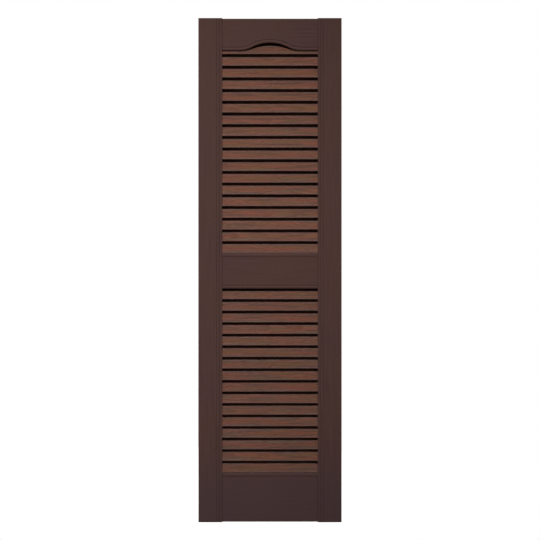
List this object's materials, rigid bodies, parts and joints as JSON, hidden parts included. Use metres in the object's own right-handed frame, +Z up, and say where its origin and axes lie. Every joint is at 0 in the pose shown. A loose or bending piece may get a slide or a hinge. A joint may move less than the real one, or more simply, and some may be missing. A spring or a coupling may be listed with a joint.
{
  "type": "louvered exterior shutter",
  "caption": "Exterior louvered shutter with a cathedral arch in its top rail, a middle rail and fixed sloping louvers, made to be fixed flat on a wall beside a window.",
  "frame": {"origin": "centre of the back plane, on the middle rail's centre rib, half way up the shutter", "axes": "+Z up along the stiles, +X to the right seen from the front, +Y into the wall, so the face looks along -Y"},
  "size_m": [0.3682, 0.0254, 1.2954],
  "materials": {
    "frame": "matte, with a fine moulded wood grain, coloured right through",
    "louver": "matte, with a bold moulded wood grain, coloured right through"
  },
  "bodies": {
    "root": {"left_stile": "frame", "right_stile": "frame", "top_rail": "frame", "middle_rail": "frame", "bottom_rail": "frame", "upper_louver_01": "louver", "upper_louver_02": "louver", "upper_louver_03": "louver", "upper_louver_04": "louver", "upper_louver_05": "louver", "upper_louver_06": "louver", "upper_louver_07": "louver", "upper_louver_08": "louver", "upper_louver_09": "louver", "upper_louver_10": "louver", "upper_louver_11": "louver", "upper_louver_12": "louver", "upper_louver_13": "louver", "upper_louver_14": "louver", "upper_louver_15": "louver", "upper_louver_16": "louver", "upper_louver_17": "louver", "upper_louver_18": "louver", "lower_louver_01": "louver", "lower_louver_02": "louver", "lower_louver_03": "louver", "lower_louver_04": "louver", "lower_louver_05": "louver", "lower_louver_06": "louver", "lower_louver_07": "louver", "lower_louver_08": "louver", "lower_louver_09": "louver", "lower_louver_10": "louver", "lower_louver_11": "louver", "lower_louver_12": "louver", "lower_louver_13": "louver", "lower_louver_14": "louver", "lower_louver_15": "louver", "lower_louver_16": "louver"}
  },
  "joints": []
}
